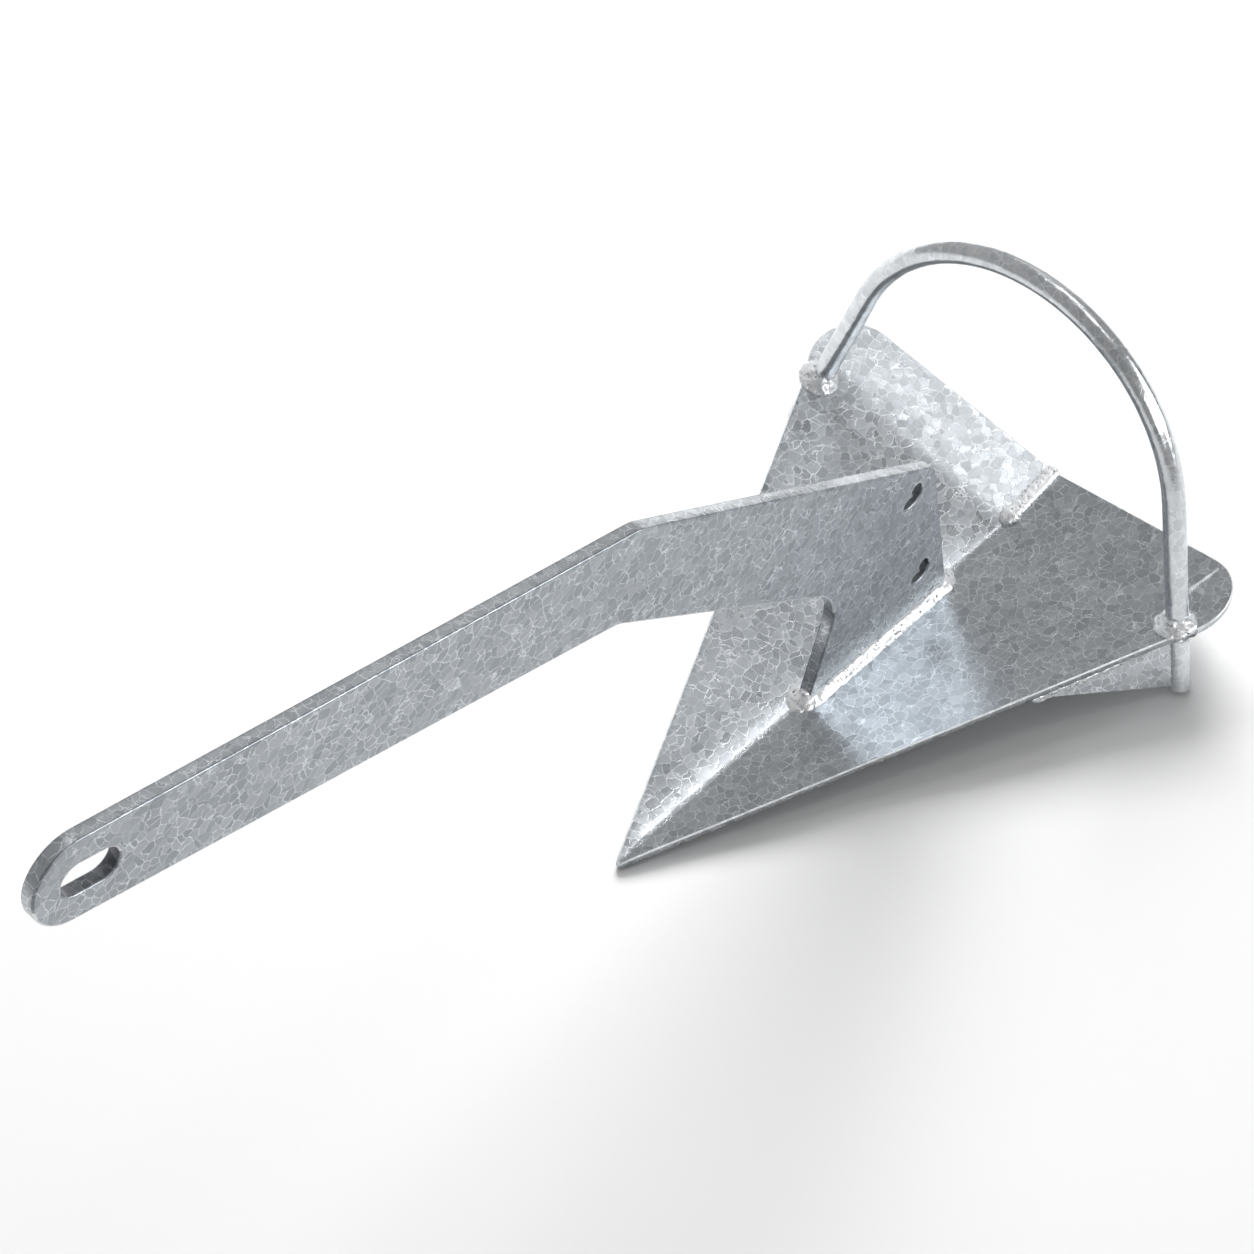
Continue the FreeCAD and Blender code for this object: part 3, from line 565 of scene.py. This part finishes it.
def eye_outline(cx, cz):
    """A kidney: a short slot bent round a centre that lies outside it."""
    outer_steps, inner_steps, end_steps = 16, 8, 10
    first, last = math.radians(EYE_TURN - EYE_SWEEP / 2), math.radians(EYE_TURN + EYE_SWEEP / 2)
    h = EYE_WIDTH / 2
    p1 = (cx + EYE_R * math.cos(first), cz + EYE_R * math.sin(first))
    p2 = (cx + EYE_R * math.cos(last), cz + EYE_R * math.sin(last))
    loop = arc(cx, cz, EYE_R + h, first, last, outer_steps)[:-1]
    loop += arc(*p2, h, last, last + math.pi, end_steps)[:-1]
    loop += arc(cx, cz, EYE_R - h, last, first, inner_steps)[:-1]
    return loop + arc(*p1, h, first + math.pi, first + 2 * math.pi, end_steps)[:-1]


def build_shank():
    same_point = 1e-7
    outer = shank_outline()
    holes = [slot_outline()] + [eye_outline(*eye) for eye in EYES]
    loops = [outer] + [list(reversed(h)) for h in holes]
    inner = [inset(loop, SHANK_RIM) for loop in loops]
    pts, edges, bases = [], [], []
    for loop in inner:
        n, base = len(loop), len(pts)
        bases.append(base)
        pts += loop
        edges += [(base + i, base + (i + 1) % n) for i in range(n)]
    verts, _, faces, origin, _, _ = delaunay_2d_cdt(pts, edges, [], WHOLE, same_point)
    number = numbers_of(origin)

    bm = bmesh.new()
    flat = []
    sides = {}
    for sign in (-1, 1):
        sides[sign] = [bm.verts.new((v.x, sign * HALF, v.y)) for v in verts]
        for f in faces:
            c = sum((verts[i] for i in f), Vector((0.0, 0.0))) / len(f)
            if within(c, inner[0]) and not any(within(c, h) for h in inner[1:]):
                way_round = f if sign < 0 else reversed(f)
                flat.append(bm.faces.new([sides[sign][i] for i in way_round]))

    # rims facing up take a painted highlight and rims facing down a painted shade; the holes' walls
    # take a painted shade too
    painted_highlight_slot, shaded_bore, shaded, wall = 1, 2, 3, 4
    turn = quarter_turn()
    for loop, base in zip(loops, bases):
        n = len(loop)
        rings = [[sides[-1][number[base + i]] for i in range(n)]]
        for sign, angles in ((-1, turn), (1, turn[::-1])):
            for t in angles:
                y = sign * (HALF - SHANK_RIM * (1 - math.cos(t)))
                turned = inset(loop, SHANK_RIM * (1 - math.sin(t)))
                rings.append([bm.verts.new((q.x, y, q.y)) for q in turned])
        rings.append([sides[1][number[base + i]] for i in range(n)])
        for k, (a, b) in enumerate(zip(rings, rings[1:])):
            for i in range(n):
                j = (i + 1) % n
                f = bm.faces.new((a[i], a[j], b[j], b[i]))
                f.normal_update()
                if k == RIM_STEPS:
                    f.material_index = wall if loop is outer else shaded_bore
                else:
                    f.material_index = painted_highlight_slot if f.normal.z > 0.0 else shaded
    for f in bm.faces:
        f.smooth = True
    for f in flat:
        f.smooth = False
    bmesh.ops.recalc_face_normals(bm, faces=bm.faces)
    for e in bm.edges:
        if len(e.link_faces) == 2 and e.calc_face_angle(0.0) > SHARP:
            e.smooth = False
    loose = [v for v in bm.verts if not v.link_faces]
    bmesh.ops.delete(bm, geom=loose, context="VERTS")
    mesh_object("shank_plate", bm, (SHANK_ZINC, PAINTED_HIGHLIGHT_ZINC, SHADED_BORE_ZINC, PAINTED_SHADE_ZINC, PLATE_ZINC),
                "shank")


# Welds
def apply_modifiers(obj):
    dg = bpy.context.evaluated_depsgraph_get()
    dg.update()
    me = bpy.data.meshes.new_from_object(obj.evaluated_get(dg))
    obj.modifiers.clear()
    old = obj.data
    obj.data = me
    bpy.data.meshes.remove(old)


def lumpy(node, voxel, amp, freq, seed, ripple=None, swell=0.0, blob=None):
    """The smooth bead of a solid, remeshed and given the lumps of a hand-laid weld.

    voxel is the new mesh's fineness, amp and freq are the lumps' height and how close they lie,
    ripple is the run's direction with the ripples' pitch and height, swell makes the bead fuller,
    and blob is the x of a fuller end and how much it adds.
    """
    fine, fine_share, bias = 2.3, 0.5, 0.15
    blob_reach = 0.0035
    held_back = 0.0004      # the heel bead ends this far ahead of the rear edge
    same_point = 1e-6
    bm = bmesh.new()
    bm.from_mesh(nodes[node].data)
    bmesh.ops.remove_doubles(bm, verts=bm.verts, dist=same_point)
    obj = mesh_object(node + "_bead", bm, (WELD_ZINC,), node)
    mod = obj.modifiers.new("remesh", "REMESH")
    mod.mode = "VOXEL"
    mod.voxel_size = voxel
    apply_modifiers(obj)
    me = obj.data
    shift = Vector((seed * 3.1, seed * 1.7, seed * 5.3))    # each bead's own place in the noise
    normals = [v.normal.copy() for v in me.vertices]
    for v, normal in zip(me.vertices, normals):
        p = v.co * freq + shift
        d = amp * (noise.noise(p) + fine_share * noise.noise(p * fine)) - bias * amp + swell
        if ripple:
            axis, pitch, height = ripple
            d += height * (abs(math.sin(math.pi * v.co.dot(axis) / pitch)) - 0.5)
        if blob:
            end, more = blob
            d += more * math.exp(-((v.co.x - end) / blob_reach) ** 2)
        v.co += normal * d
        v.co.x = min(v.co.x, HEEL - held_back)
    for poly in me.polygons:
        poly.use_smooth = True
    dress(obj, WELD_ZINC)


def build_welds():
    # the directions in which the rippled runs were laid
    keel, heel, skid = Vector((1, 0, 0)), Vector((1, 0, 0.19)), Vector((0.9, 0.4, 0))
    lumpy("shank_weld", 0.0009, 0.0006, 150.0, 1.0, (keel, 0.0060, 0.00030), 0.0022)
    lumpy("heel_weld", 0.0006, 0.0004, 170.0, 2.0, (heel, 0.0055, 0.0002), 0.0022, (0.3860, 0.0016))
    for k, side in enumerate(("left", "right")):
        lumpy("hoop_weld_" + side, 0.0007, 0.0011, 170.0, 3.0 + k, swell=0.0012)
        lumpy("skid_weld_" + side, 0.0008, 0.0009, 220.0, 5.0 + k, (skid, 0.0050, 0.0004))


# Floor, lights and surroundings
def make_floor():
    half_width, below = 9.0, 0.0004     # a hair below z = 0, clear of what stands on it
    bm = bmesh.new()
    corners = ((-1, -1), (1, -1), (1, 1), (-1, 1))
    bm.faces.new([bm.verts.new((x * half_width, y * half_width, -below)) for x, y in corners])
    me = bpy.data.meshes.new("floor")
    bm.to_mesh(me)
    bm.free()
    obj = bpy.data.objects.new("floor", me)
    scene.collection.objects.link(obj)
    g = Graph("floor")
    shader = g.add("ShaderNodeBsdfDiffuse")
    shader.inputs["Color"].default_value = (*grey(0.90), 1.0)
    me.materials.append(g.finish(shader))


def area(name, where, aim, size, power, diffuse=False, gloss=True):
    """A lit panel, for matt surfaces and the floor (diffuse) or for the metal to mirror (gloss)."""
    data = bpy.data.lights.new(name, "AREA")
    data.shape = "RECTANGLE"
    data.size, data.size_y = size
    data.energy = power
    obj = bpy.data.objects.new(name, data)
    obj.location = where
    obj.rotation_euler = (Vector(aim) - Vector(where)).to_track_quat("-Z", "Y").to_euler()
    obj.visible_diffuse = diffuse
    obj.visible_glossy = gloss
    scene.collection.objects.link(obj)


def make_lights():
    area("key", (2.39, 1.97, 2.7), (0.2, 0.0, 0.0), (2.5, 1.9), 190.0, diffuse=True, gloss=False)
    area("over_wing", (1.76, 0.06, 2.5), (1.0, 0.06, 0.0), (0.40, 0.40), 0.6)
    area("over_flap", (0.64, -0.18, 1.3), (0.64, -0.18, 0.0), (0.20, 0.20), 0.42)
    area("near_strip", (-0.10, -1.25, 0.88), (-0.1, 0.0, 0.2), (1.3, 0.36), 6.0)
    area("near_panel", (1.00, -1.25, 0.85), (0.25, 0.0, 0.05), (0.90, 0.80), 19.5)


def make_world():
    """A dim studio with soft patches, which the metal mirrors.

    A patch is its azimuth, its elevation, the radii between which it fades out, all in degrees,
    and its level, below zero for a dark one.
    """
    level_all_round = 0.30
    patches = (
        (90, 0, 60, 110, 0.12),         # the far side as a whole, a little brighter
        (28, 64, 1, 8, 7.4),            # the streak along the keel
        (-51, 82.5, 3, 8, 3.5),         # the far flap
        (33, 30, 3, 13, 0.45),          # the top edge of the shank's arm
        (-11, 64, 2, 12, -0.28),        # a dark card over the far wing
    )
    world = bpy.data.worlds.new("studio")
    scene.world = world
    world.use_nodes = True
    tree = world.node_tree
    tree.nodes.clear()
    way = tree.nodes.new("ShaderNodeTexCoord").outputs["Generated"]

    def plus(a, b):
        n = tree.nodes.new("ShaderNodeMath")
        tree.links.new(a, n.inputs[0])
        if isinstance(b, float):
            n.inputs[1].default_value = b
        else:
            tree.links.new(b, n.inputs[1])
        return n.outputs[0]

    def patch(azimuth, elevation, inner, outer, level):
        az, el = math.radians(azimuth), math.radians(elevation)
        dot = tree.nodes.new("ShaderNodeVectorMath")
        dot.operation = "DOT_PRODUCT"
        tree.links.new(way, dot.inputs[0])
        dot.inputs[1].default_value = (
            math.cos(el) * math.cos(az), math.cos(el) * math.sin(az), math.sin(el))
        soft = tree.nodes.new("ShaderNodeMapRange")
        soft.interpolation_type = "SMOOTHSTEP"
        tree.links.new(dot.outputs["Value"], soft.inputs["Value"])
        soft.inputs["From Min"].default_value = math.cos(math.radians(outer))
        soft.inputs["From Max"].default_value = math.cos(math.radians(inner))
        soft.inputs["To Max"].default_value = level
        return soft.outputs[0]

    total = patch(*patches[0])
    for values in patches[1:]:
        total = plus(total, patch(*values))
    bg = tree.nodes.new("ShaderNodeBackground")
    tree.links.new(plus(total, level_all_round), bg.inputs["Color"])
    out = tree.nodes.new("ShaderNodeOutputWorld")
    tree.links.new(bg.outputs[0], out.inputs[0])


make_camera()

PLATE_ZINC = galvanised("galvanised_plate")
# a darker copy of the zinc: painted shade for the lower rims
PAINTED_SHADE_ZINC = galvanised("galvanised_painted_shade", dark=(0.20, 0.22, 0.245), light=(0.34, 0.365, 0.39),
                       line=(0.50, 0.53, 0.56), rough=(0.34, 0.46), tilt=0.06)
SHANK_ZINC = galvanised("galvanised_shank", dark=(0.335, 0.36, 0.385), light=(0.50, 0.53, 0.56),
                        rough=(0.40, 0.52), tilt=0.06, metal=0.80)
# a brighter copy of the zinc: painted highlight for the upper rims and the drip
PAINTED_HIGHLIGHT_ZINC = galvanised("galvanised_painted_highlight", cells=190.0, dark=(0.66, 0.68, 0.70),
                      light=(0.88, 0.90, 0.92), line=(0.97, 0.97, 0.97), rough=(0.28, 0.40),
                      tilt=0.05, bump=0.12, metal=0.62)
# a dark copy of the zinc: painted shade on the holes' walls
SHADED_BORE_ZINC = galvanised("galvanised_bore_painted_shade", dark=(0.10, 0.11, 0.12), light=(0.22, 0.23, 0.25),
                       line=(0.34, 0.35, 0.37), rough=(0.40, 0.55),
                       tilt=0.05, bump=0.15, metal=0.85)
BAR_ZINC = galvanised("galvanised_bar", dark=(0.54, 0.565, 0.585), light=(0.72, 0.74, 0.76),
                      rough=(0.18, 0.26), tilt=0.05, bump=0.15)
WELD_ZINC = weld_zinc("galvanised_weld")

build_fluke()
build_shank()
dress(nodes["roll_bar"], BAR_ZINC)
for side in ("left", "right"):
    dress(nodes["skid_" + side], PLATE_ZINC)
for name in nodes:
    if "weld" in name:
        dress(nodes[name], WELD_ZINC)
build_welds()
make_floor()
make_lights()
make_world()

scene.view_settings.view_transform = "Standard"
scene.view_settings.look = "None"
scene.view_settings.exposure = 0.0
scene.view_settings.gamma = 1.0
